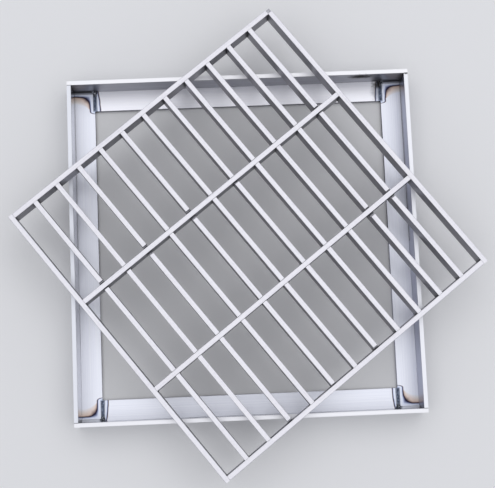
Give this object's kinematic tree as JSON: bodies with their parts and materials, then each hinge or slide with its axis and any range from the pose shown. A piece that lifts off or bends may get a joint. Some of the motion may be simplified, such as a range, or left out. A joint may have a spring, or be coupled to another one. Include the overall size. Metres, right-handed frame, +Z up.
{
  "type": "square drain grate",
  "caption": "Square grate of flat bars on edge, lying turned on the rim of its welded angle frame; dropped into the frame, it covers a drain and lets water through.",
  "frame": {"origin": "on the ground, under the middle of the grate", "axes": "+Z up; the frame's sides run along X and Y, and the grate's bearing bars run 52.5 degrees clockwise from +X, seen from above"},
  "size_m": [0.5608, 0.5608, 0.065],
  "materials": {
    "frame_steel": "satin stainless steel, brushed along each angle, heat tinted at the corner welds",
    "grate_steel": "satin stainless flat bar, bright on top and dull on the sides",
    "weld_metal": "dull weld metal, blued by heat"
  },
  "bodies": {
    "root": {"bearing_bar_01": "grate_steel", "bearing_bar_02": "grate_steel", "bearing_bar_03": "grate_steel", "bearing_bar_04": "grate_steel", "bearing_bar_05": "grate_steel", "bearing_bar_06": "grate_steel", "bearing_bar_07": "grate_steel", "bearing_bar_08": "grate_steel", "bearing_bar_09": "grate_steel", "bearing_bar_10": "grate_steel", "bearing_bar_11": "grate_steel", "cross_bar_1": "grate_steel", "cross_bar_1_welds": "weld_metal", "cross_bar_2": "grate_steel", "cross_bar_2_welds": "weld_metal", "end_bar_1": "grate_steel", "end_bar_2": "grate_steel", "end_bar_2_welds": "weld_metal", "frame_back_angle": "frame_steel", "frame_front_angle": "frame_steel", "frame_left_angle": "frame_steel", "frame_right_angle": "frame_steel", "frame_weld_back_left": "weld_metal", "frame_weld_back_right": "weld_metal", "frame_weld_front_left": "weld_metal", "frame_weld_front_right": "weld_metal", "side_bar_1": "grate_steel", "side_bar_2": "grate_steel"}
  },
  "joints": []
}
